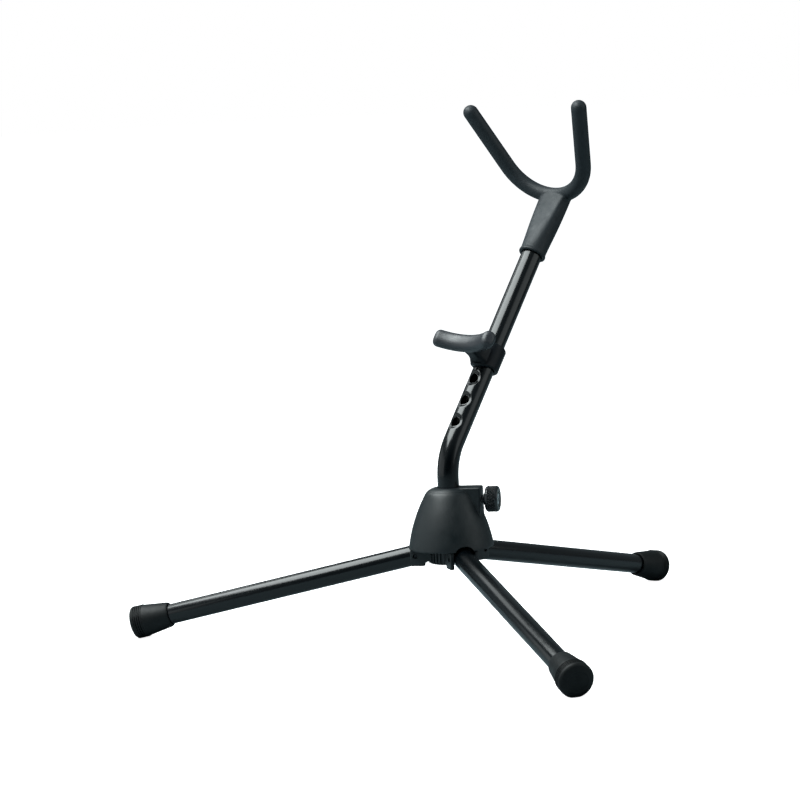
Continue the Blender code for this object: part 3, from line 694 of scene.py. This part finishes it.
def make_carrier():
    """The moulded carrier: a plate, a ribbed drum with the mast's socket, and the legs' ears."""
    outline = [(0.0, DRUM_BOTTOM), (DRUM_R, DRUM_BOTTOM), (DRUM_R, SKIRT_Z), (PLATE_R, SKIRT_Z)]
    outline += [(PLATE_R, PLATE_TOP), (SOCKET_R, PLATE_TOP), (SOCKET_R, SOCKET_TOP), (BORE_R, SOCKET_TOP)]
    outline += [(BORE_R, SOCKET_FLOOR), (0.0, SOCKET_FLOOR)]
    body = turned("carrier", rounded(outline, 0.0006, 3), HUB, 144)
    tools, extras = [], []
    slot_half = EAR_INNER + 0.0002
    low, high = (SLOT_START - HINGE_R, -slot_half, -0.012), (0.030, slot_half, 0.015)
    for matrix in LEGS.values():
        tools.append(bricked("slot", low, high, 0.0004, matrix, 2))
        extras += [make_ear(matrix, -1), make_ear(matrix, 1)]
        tilted = matrix @ Matrix.Rotation(LEG_SLOPE, 4, "Y")
        stop_low, stop_high = (-0.019, -0.005, 0.0056), (-LEG_TAIL - GAP, 0.005, 0.0086)
        extras.append(bricked("stop", stop_low, stop_high, 0.0004, tilted, 2))
    for degrees in POST_ANGLES:
        spot = HUB @ about(angle=math.radians(degrees))
        tools.append(rod(POST_HEAD_R + GAP, 0.070, POST_HEAD_SEAT, spot @ about((POST_AT, 0, 0)), 32))
        for step in range(DRUM_RIBS):
            rib = spot @ about(angle=math.radians((step - DRUM_RIBS // 2) * DRUM_RIB_STEP))
            low = (DRUM_R - 0.001, -DRUM_RIB_HALF, DRUM_BOTTOM + 0.0006)
            high = (DRUM_R + DRUM_RIB_HEIGHT, DRUM_RIB_HALF, SKIRT_Z + 0.0005)
            extras.append(bricked("rib", low, high, 0.0003, rib, 2))
    whole = joined("carrier", [cut(body, *tools), *extras])
    piece("carrier", whole, "hub", "hub_plastic", ("leg_carrier",), 32.0)


# ---------------------------------------------------------------- clamp


def knurl(angle, height):
    """The knob's diamond knurl, which fades out at its rims."""
    lean = math.tau * (height - KNOB_NEAR) / KNURL_PITCH / KNURL_TEETH
    one = abs(math.sin(KNURL_TEETH / 2 * (angle + lean)))
    two = abs(math.sin(KNURL_TEETH / 2 * (angle - lean)))
    edge = min(height - KNOB_NEAR, KNOB_FAR - height) - KNOB_SHOULDER
    fade = min(max(edge / KNURL_FADE, 0.0), 1.0)
    return -KNURL_DEPTH * fade * (1 - min(one, two) ** 0.7)


def knob_wave(angle, height):
    """The knurl, but only on the knob's outer wall."""
    inside = min(height - KNOB_NEAR, KNOB_FAR - height) < KNOB_SHOULDER
    return 0.0 if inside else knurl(angle, height)


def thread(angle, height):
    """A slight helix on the clamp screw's shank."""
    if height > THREAD_END or height < THREAD_START:
        return 0.0
    return THREAD_DEPTH * math.sin(math.tau * height / THREAD_PITCH + angle)


def make_knob():
    """The knurled knob with a recess in its end, and the clamp screw in it."""
    length = KNOB_FAR - KNOB_NEAR
    wall = length - 2 * KNOB_SHOULDER
    heights = [KNOB_NEAR + KNOB_SHOULDER + wall * i / 46 for i in range(47)]
    rim = KNOB_R - 0.0009
    near = [(BOSS_R, KNOB_NEAR), (rim, KNOB_NEAR), (KNOB_R, KNOB_NEAR + KNOB_SHOULDER)]
    far = [(KNOB_R, KNOB_FAR - KNOB_SHOULDER), (rim, KNOB_FAR), (RECESS_RIM_R, KNOB_FAR)]
    boss = [(0.0, KNOB_NEAR - 0.0016), (0.0048, KNOB_NEAR - 0.0016), (BOSS_R, KNOB_NEAR - 0.0012)]
    recess = [(RECESS_RIM_R, KNOB_FAR), (0.0064, KNOB_FAR - 0.0006), (RECESS_R, KNOB_FAR - 0.0006)]
    recess += [(RECESS_R, RECESS_FLOOR), (0.0, RECESS_FLOOR)]
    profile = [Vector(p) for p in boss] + rounded(near, KNOB_ROUND, 5)
    profile += [Vector((KNOB_R, h)) for h in heights] + rounded(far, KNOB_ROUND, 5)
    profile += [Vector(p) for p in recess]
    mesh = turned("knurled_knob", profile, CLAMP @ TO_X, 272, knob_wave)
    piece("knurled_knob", mesh, "clamp_knob", "knob_plastic", ("clamp_knob",), 50.0)
    outline = [(0.0, 0.0392), (SCREW_KEY_R, 0.0392), (SCREW_KEY_R, SCREW_HEAD_TOP)]
    outline += [(0.0044, SCREW_HEAD_TOP), (SCREW_HEAD_R, 0.0412), (SCREW_HEAD_R, SCREW_HEAD_SEAT)]
    outline += [(SHANK_R, SCREW_HEAD_SEAT), (SHANK_R, 0.0130), (0.0024, SCREW_TIP), (0.0, SCREW_TIP)]
    screw = turned("clamp_screw_steel", rounded(outline, 0.0002, 2), CLAMP @ TO_X, 48, thread)
    piece("clamp_screw_steel", screw, "clamp_knob", "bright_steel", ("clamp_screw",), 30.0)


# ---------------------------------------------------------------- legs


def foot_profile():
    """A foot's outline, from inside its mouth and over its ribs to the middle of its round end."""
    sleeve = LEG_TUBE_R + GAP
    skirt = [(sleeve, FOOT_START + 0.004), (sleeve, FOOT_START), (FOOT_MOUTH_R, FOOT_START)]
    skirt.append((FOOT_MOUTH_R + 0.0007, FOOT_START + 0.0014))
    waist_r, shoulder = FOOT_RIM_R - 0.0006, FOOT_RIM - 0.0085
    rib_r, groove_r = waist_r + FOOT_RIB_HEIGHT, waist_r - FOOT_GROOVE_DEPTH
    ribs = [(waist_r, shoulder)]
    for index in range(FOOT_RIBS):
        start = shoulder + 0.0006 + index * FOOT_RIB_PITCH
        ribs += [(rib_r, start), (rib_r, start + 0.0008)]
        ribs += [(groove_r, start + 0.0011), (groove_r, start + 0.0016)]
    ribs.append((FOOT_RIM_R, FOOT_RIM - 0.0006))
    end = [ribs[-1], (FOOT_RIM_R - 0.0001, FOOT_RIM + 0.0012)]
    end += [(FOOT_RIM_R * 0.90, FOOT_RIM + 0.0026), (FOOT_RIM_R * 0.62, FOOT_END - 0.0006)]
    end += [(FOOT_RIM_R * 0.58, FOOT_END - 0.0008), (FOOT_RIM_R * 0.3, FOOT_END - 0.0002), (0.0, FOOT_END)]
    return rounded(skirt, 0.0005, 3) + rounded(ribs, 0.00025, 2) + rounded(end, 0.0022, 6)[1:]


def make_leg(leg, matrix):
    """One leg's tube with turned-in ends, and its ribbed foot, flat where it meets the floor."""
    along = matrix @ ALONG
    inner = LEG_TUBE_R - LEG_WALL
    wall = [(inner, LEG_END), (LEG_TUBE_R, LEG_END), (LEG_TUBE_R, -LEG_TAIL)]
    wall += [(inner, -LEG_TAIL), (inner, LEG_END)]
    tube = turned(f"{leg}_tube", rounded(wall, 0.0004, 3), along, 72)
    hole = rod(PIN_R + GAP, -0.02, 0.02, matrix @ TO_Y, 24)
    piece(f"{leg}_tube", cut(tube, hole), f"{leg}_leg", "coated_tube", (f"{leg}_leg_tube",), 40.0)
    foot = turned(f"{leg}_foot", foot_profile(), along, 96)
    for vert in foot.vertices:
        vert.co.z = max(vert.co.z, 0.0)
    piece(f"{leg}_foot", foot, f"{leg}_leg", "foot_rubber", (f"{leg}_leg_foot",), 30.0)


# ---------------------------------------------------------------- mast


def mast_stations():
    """(centre, tilt, distance along the slope or None) for each ring of the mast."""
    tangent = BEND_R * math.tan(LEAN / 2)
    upright = BEND_Z - tangent - MAST_BOTTOM
    made = [((0.0, MAST_BOTTOM + upright * i / 8), 0.0, None) for i in range(9)]
    for index in range(1, 21):
        a = LEAN * index / 20
        centre = (BEND_R * (1 - math.cos(a)), BEND_Z - tangent + BEND_R * math.sin(a))
        made.append((centre, a, None))
    first, last = HOLE_TOP - HOLE_PITCH * (HOLE_COUNT - 1) - 0.008, HOLE_TOP + 0.008
    fine = [first + 0.0005 * i for i in range(int((last - first) / 0.0005) + 1)]
    for s in [(tangent + first) / 2, *fine, 0.110, 0.130, 0.150, 0.170, 0.190, MAST_TOP]:
        made.append(((s * math.sin(LEAN), BEND_Z + s * math.cos(LEAN)), LEAN, s))
    return made


def dish(around, s):
    """How far the tube's front is pressed in near a hole, from distances round and along it."""
    deepest = 0.0
    for index in range(HOLE_COUNT):
        away = math.hypot(around, s - (HOLE_TOP - HOLE_PITCH * index))
        share = min(max((DISH_REACH - away) / DISH_SLOPE, 0.0), 1.0)
        deepest = max(deepest, share * share * (3 - 2 * share))
    return DISH_DEPTH * deepest


def make_mast():
    """The bent tube, with a dished hole at each place for the rest."""
    count = 112
    rings = {"outer": [], "inner": []}
    for (y, z), tilt, s in mast_stations():
        for side, radius in (("outer", MAST_R), ("inner", MAST_R - MAST_WALL)):
            ring = []
            for index in range(count):
                angle = math.tau * index / count - math.pi
                press = dish(MAST_R * angle, s) if s is not None else 0.0
                r = radius - press
                across, front = r * math.sin(angle), r * math.cos(angle)
                ring.append((across, y - front * math.cos(tilt), z + front * math.sin(tilt)))
            rings[side].append(ring)
    tube = lofted("mast", rings["outer"] + rings["inner"][::-1], HUB, looped=True)
    tools = []
    for index in range(HOLE_COUNT):
        spot = SLOPE @ about((0, 0, HOLE_TOP - HOLE_PITCH * index))
        tools.append(rod(HOLE_R, -0.020, -0.001, spot @ TO_Y, 60))
    piece("mast", cut(tube, *tools), "mast", "coated_tube", ("mast_tube",), 42.0)


# ---------------------------------------------------------------- fork


def fork_spine():
    """The U's centre line from tip to tip, with extra points in its round tips."""
    end_x = U_RADIUS * math.sin(U_HALF_ANGLE)
    end_z = U_RADIUS * (1 - math.cos(U_HALF_ANGLE))
    run = Vector((math.cos(U_HALF_ANGLE), 0, math.sin(U_HALF_ANGLE)))
    corner = Vector((end_x, 0, end_z))
    side = []
    radii = []
    for turn in range(88, 0, -8):
        t = math.radians(turn)
        side.append(corner + run * (U_ARM + FORK_R * math.sin(t)))
        radii.append(FORK_R * math.cos(t))
    for index in range(13):
        side.append(corner + run * U_ARM * (1 - index / 12))
        radii.append(FORK_R)
    for index in range(1, 24):
        a = U_HALF_ANGLE * (1 - index / 24)
        side.append(Vector((U_RADIUS * math.sin(a), 0, U_RADIUS * (1 - math.cos(a)))))
        radii.append(FORK_R)
    other = [Vector((-p.x, p.y, p.z)) for p in side]
    return side + [Vector((0, 0, 0))] + other[::-1], radii + [FORK_R] + radii[::-1]


def socket_rings():
    """The socket from its round mouth to the wide, flat end that runs into the U."""
    rings = []
    stations = 26
    for index in range(stations + 1):
        part = index / stations
        ease = part * part * (3 - 2 * part)
        half_x = SOCKET_ROUND + (SOCKET_WIDE - SOCKET_ROUND) * part
        half_y = SOCKET_ROUND + (FORK_R - 0.0002 - SOCKET_ROUND) * part
        height = SOCKET_START + (FORK_S - 0.0006 - SOCKET_START) * part
        power = 2.0 + SOCKET_FLATTENING * ease
        rings.append([(x, y, height) for x, y in super_ring(half_x, half_y, power, 64)])
    return rings


def make_fork():
    """The soft cover of the fork and its socket, moulded as one skin."""
    spine, radii = fork_spine()
    u = swept("u", spine, lambda i: [(x, y) for x, y, _ in circle(radii[i], 0, 40)], FORK)
    socket = lofted("socket", socket_rings(), SLOPE)
    section = ((0.0104, 0.0030), (0.0119, 0.0024), (0.0119, 0.0002))
    section += ((0.0112, -0.0004), (0.0098, -0.0004), (0.0098, 0.0030))
    bead = [(r, SOCKET_START + h) for r, h in section]
    ring = turned("bead", rounded(bead + [bead[0]], 0.0006, 3), SLOPE, 64)
    skin = moulded(joined("fork_skin", [u, socket, ring]), COVER_VOXEL, COVER_PASSES)
    bore = rod(MAST_R + 0.00035, SOCKET_START - 0.006, SOCKET_START + 0.013, SLOPE, 72)
    piece("fork_skin", cut(skin, bore), "mast", "soft_cover", ("fork_cover",), 50.0)


# ---------------------------------------------------------------- lower rest


def arc_spine():
    """The pad's centre line in local XZ, with Z forward, and how far each point is into a rounded end."""
    spots = []
    half = ARC_HALF_ANGLE
    extra = PAD_ROUND / ARC_RADIUS
    for turn in range(90, 0, -10):
        t = math.radians(turn)
        spots.append((-half - extra * math.sin(t), 1 - math.cos(t)))
    spots += [(-half + 2 * half * i / 36, 0.0) for i in range(37)]
    spots += [(-a, inset) for a, inset in reversed(spots[:9])]
    centre = ARC_FRONT + ARC_RADIUS
    line = [(ARC_RADIUS * math.sin(a), 0, centre - ARC_RADIUS * math.cos(a)) for a, _ in spots]
    return line, [inset * PAD_ROUND for _, inset in spots]


def make_pad():
    """The rest's soft pad, a curved bar with full, rounded ends."""
    line, insets = arc_spine()

    def section(index):
        inset = insets[index]
        return super_ring(PAD_HALF - inset, PAD_HEIGHT - inset, PAD_POWER, 56)

    upright = REST @ Matrix(((1, 0, 0, 0), (0, 0, 1, 0), (0, -1, 0, 0), (0, 0, 0, 1)))
    pad = swept("rest_cushion", line, section, upright)
    room = bricked(
        "room",
        (-NECK_HALF - 0.0002, 0.016, -NECK_HEIGHT - 0.0002),
        (NECK_HALF + 0.0002, 0.0262, NECK_HEIGHT + 0.0002),
        0.0005,
        REST,
    )
    made = piece("rest_cushion", cut(pad, room), "rest", "soft_cover", ("rest_pad",), 45.0, "pad_cover")


def collar_ring(share, outer, count):
    """A ring of the clip's collar, a share of the way up it, whose front hangs lower and has a lip."""
    low, high = REST_START - HOLE_TOP, REST_END - HOLE_TOP
    ring = []
    for index in range(count):
        a = math.tau * index / count
        front = max(math.cos(a - math.pi / 2), 0.0) ** 2.2
        bottom = low - CLIP_DROP * front
        height = bottom + (high - bottom) * share
        r = BORE_R
        if outer:
            near_end = min(share, 1 - share) * (high - bottom)
            flat = max(CLIP_EDGE**2 - max(CLIP_EDGE - near_end, 0.0) ** 2, 0.0)
            round_in = CLIP_EDGE - math.sqrt(flat)
            above = (height - bottom - CLIP_LIP_AT) / CLIP_LIP_AT
            r = CLIP_R + CLIP_LIP * front * math.exp(-(above**2)) - round_in
        ring.append((r * math.cos(a), r * math.sin(a), height))
    return ring


def make_clip():
    """The clip: a collar round the mast, and the neck that carries the pad."""
    count = 96
    rings = [collar_ring(s, True, count) for s in (0.0, 0.04, 0.12, 0.3, 0.5, 0.7, 0.85, 0.94, 1.0)]
    rings += [collar_ring(s, False, count) for s in (1.0, 0.5, 0.0)]
    collar = lofted("clip", rings, REST, looped=True)
    stations = (
        (0.0098, 0.0090, 0.0094),
        (0.0125, 0.0078, 0.0082),
        (0.0155, 0.0068, 0.0066),
        (0.0190, NECK_HALF, NECK_HEIGHT),
        (NECK_END, NECK_HALF, NECK_HEIGHT),
    )
    neck_rings = []
    for y, half_x, half_z in stations:
        neck_rings.append([(x, y, z) for x, z in super_ring(half_x, half_z, NECK_POWER, 48)])
    neck = lofted("neck", neck_rings, REST)
    bore = rod(BORE_R, -0.030, 0.030, REST, count)
    clip = cut(added(collar, neck), bore)
    # The clip takes the darker copy of the hub plastic, whose colour paints in shade.
    piece("clip", clip, "rest", "hub_plastic", ("rest_clip",), 35.0, "clip_painted_shade")


# ---------------------------------------------------------------- small steel parts


def make_carrier_screws():
    """Pan-head screws under the hub, each with a cross recess."""
    for index, degrees in enumerate(POST_ANGLES, start=1):
        low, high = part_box(f"housing_screw_{index}")
        middle = (low + high) / 2
        spot = about((middle.x, middle.y, low.z), "Z", math.radians(degrees * 1.7))
        head = [(0.0, 0.0), (0.0022, 0.0001), (0.0030, 0.0011), (0.0030, 0.0015), (0.0013, 0.0015)]
        head += [(0.0013, high.z - low.z), (0.0, high.z - low.z)]
        screw = turned("screw", rounded(head, [0.0008, 0.0006, 0.0002, 0.0001, 0.0002], 4), spot, 40)
        bars = [
            bricked("bar", (-a, -b, -0.001), (a, b, 0.0009), 0.0001, spot, 1)
            for a, b in ((0.0017, 0.0003), (0.0003, 0.0017))
        ]
        replaced = (f"housing_screw_{index}",)
        piece(f"carrier_screw_{index}", cut(screw, *bars), "hub", "bright_steel", replaced, 30.0)


def dress_nodes():
    """Procedural materials for the CAD nodes that stay in view."""
    slots = {row["node"]: row["material_slot"] for row in frame["record"]["subparts"]}
    for name, node in frame["nodes"].items():
        node.data.materials.clear()
        node.data.materials.append(LOOKS[slots[name]])


# ---------------------------------------------------------------- stage, lights and camera

VIEW_AZIMUTH = math.radians(41.75)
VIEW_DISTANCE = 2.30823
VIEW_HEIGHT = 0.45591
VIEW_YAW = math.radians(0.91)
VIEW_PITCH = math.radians(6.31)
VIEW_ROLL = math.radians(-3.03)
VIEW_LENS = 125.34
LIGHT_AIM_Z = 0.22

# Linear colours: the paper floor as the camera sees it and as the stand does, and the surroundings
# that the stand reflects, from all round and from the camera's side.
PAPER_SEEN = ((0.86, 0.86, 0.86), (0.88, 0.88, 0.88))
PAPER_GLOW = 0.95
PAPER_REFLECTED = (0.21, 0.27, 0.295)
ROOM_ROUND = (0.130, 0.158, 0.170)
ROOM_AT_CAMERA = (0.004, 0.009, 0.012)


def make_camera():
    """A camera in front of the stand, to its right."""
    data = bpy.data.cameras.new("camera")
    data.sensor_width = 36.0
    data.lens = VIEW_LENS
    made = bpy.data.objects.new("camera", data)
    scene.collection.objects.link(made)
    aim = VIEW_AZIMUTH + VIEW_YAW
    level = math.cos(VIEW_PITCH)
    back = Vector((math.sin(aim) * level, -math.cos(aim) * level, math.sin(VIEW_PITCH)))
    right = Vector((math.cos(aim), math.sin(aim), 0))
    up = back.cross(right)
    turned_right = right * math.cos(VIEW_ROLL) + up * math.sin(VIEW_ROLL)
    turned_up = up * math.cos(VIEW_ROLL) - right * math.sin(VIEW_ROLL)
    spot = Vector((math.sin(VIEW_AZIMUTH), -math.cos(VIEW_AZIMUTH), 0)) * VIEW_DISTANCE
    made.matrix_world = Matrix.Translation(spot + Vector((0, HUB_Y, VIEW_HEIGHT))) @ Matrix(
        (turned_right, turned_up, back)
    ).transposed().to_4x4()
    scene.camera = made


def softbox(name, azimuth, elevation, distance, size, radiance):
    """An area light that faces the stand. Azimuth is measured from the camera's, to its right."""
    data = bpy.data.lights.new(name, "AREA")
    data.shape = "RECTANGLE"
    data.size, data.size_y = size
    data.energy = radiance * math.pi * size[0] * size[1]
    data.color = (0.93, 1.0, 1.0)
    made = bpy.data.objects.new(name, data)
    scene.collection.objects.link(made)
    a = VIEW_AZIMUTH + math.radians(azimuth)
    e = math.radians(elevation)
    out = Vector((math.sin(a) * math.cos(e), -math.cos(a) * math.cos(e), math.sin(e)))
    made.location = Vector((0, HUB_Y, LIGHT_AIM_Z)) + out * distance
    made.rotation_euler = out.to_track_quat("Z", "Y").to_euler()
    made.visible_camera = False


def make_stage():
    """A floor and surroundings that are white to the camera but dim to the stand, and soft boxes."""
    mesh = meshed("floor", [(-40, -40, 0), (40, -40, 0), (40, 40, 0), (-40, 40, 0)], [(0, 1, 2, 3)])
    floor = bpy.data.objects.new("floor", mesh)
    scene.collection.objects.link(floor)
    floor.location.z = -0.0002
    paper = bpy.data.materials.new("paper")
    paper.use_nodes = True
    tree = paper.node_tree
    shader = tree.nodes["Principled BSDF"]
    coords = tree.nodes.new("ShaderNodeTexCoord").outputs["Object"]
    tone = blended(tree, noise(tree, coords, 12.0), *PAPER_SEEN)
    seen = tree.nodes.new("ShaderNodeLightPath").outputs["Is Camera Ray"]
    link(tree, blended(tree, seen, PAPER_REFLECTED, tone), shader.inputs["Base Color"])
    shader.inputs["Roughness"].default_value = 0.9
    shader.inputs["Emission Color"].default_value = (1.0, 1.0, 1.0, 1.0)
    link(tree, ranged(tree, seen, 0.0, PAPER_GLOW, 0.0, 1.0), shader.inputs["Emission Strength"])
    mesh.materials.append(paper)
    world = bpy.data.worlds.new("studio")
    scene.world = world
    world.use_nodes = True
    tree = world.node_tree
    background = tree.nodes["Background"]
    coords = tree.nodes.new("ShaderNodeTexCoord").outputs["Generated"]
    dot = tree.nodes.new("ShaderNodeVectorMath")
    dot.operation = "DOT_PRODUCT"
    link(tree, coords, dot.inputs[0])
    dot.inputs[1].default_value = (math.sin(VIEW_AZIMUTH), -math.cos(VIEW_AZIMUTH), 0)
    towards = ranged(tree, dot.outputs["Value"], 0.0, 1.0, 0.72, 0.93)
    shade = blended(tree, towards, ROOM_ROUND, ROOM_AT_CAMERA)
    camera_ray = tree.nodes.new("ShaderNodeLightPath").outputs["Is Camera Ray"]
    link(tree, blended(tree, camera_ray, shade, (1.0, 1.0, 1.0)), background.inputs["Color"])
    background.inputs["Strength"].default_value = 1.0
    softbox("left_wall", -85, 8, 1.7, (2.6, 0.9), 0.65)
    softbox("left_roof", -84, 62, 1.6, (1.7, 1.1), 8.8)
    softbox("left_back", -142, 34, 2.2, (0.9, 0.6), 1.5)
    softbox("right_wall", 74, 22, 2.0, (1.6, 1.6), 0.85)
    scene.view_settings.view_transform = "Standard"


dress_nodes()
make_hub_shell()
make_carrier()
make_knob()
for leg_name, leg_matrix in LEGS.items():
    make_leg(leg_name, leg_matrix)
make_mast()
make_fork()
make_pad()
make_clip()
make_carrier_screws()
make_stage()
make_camera()
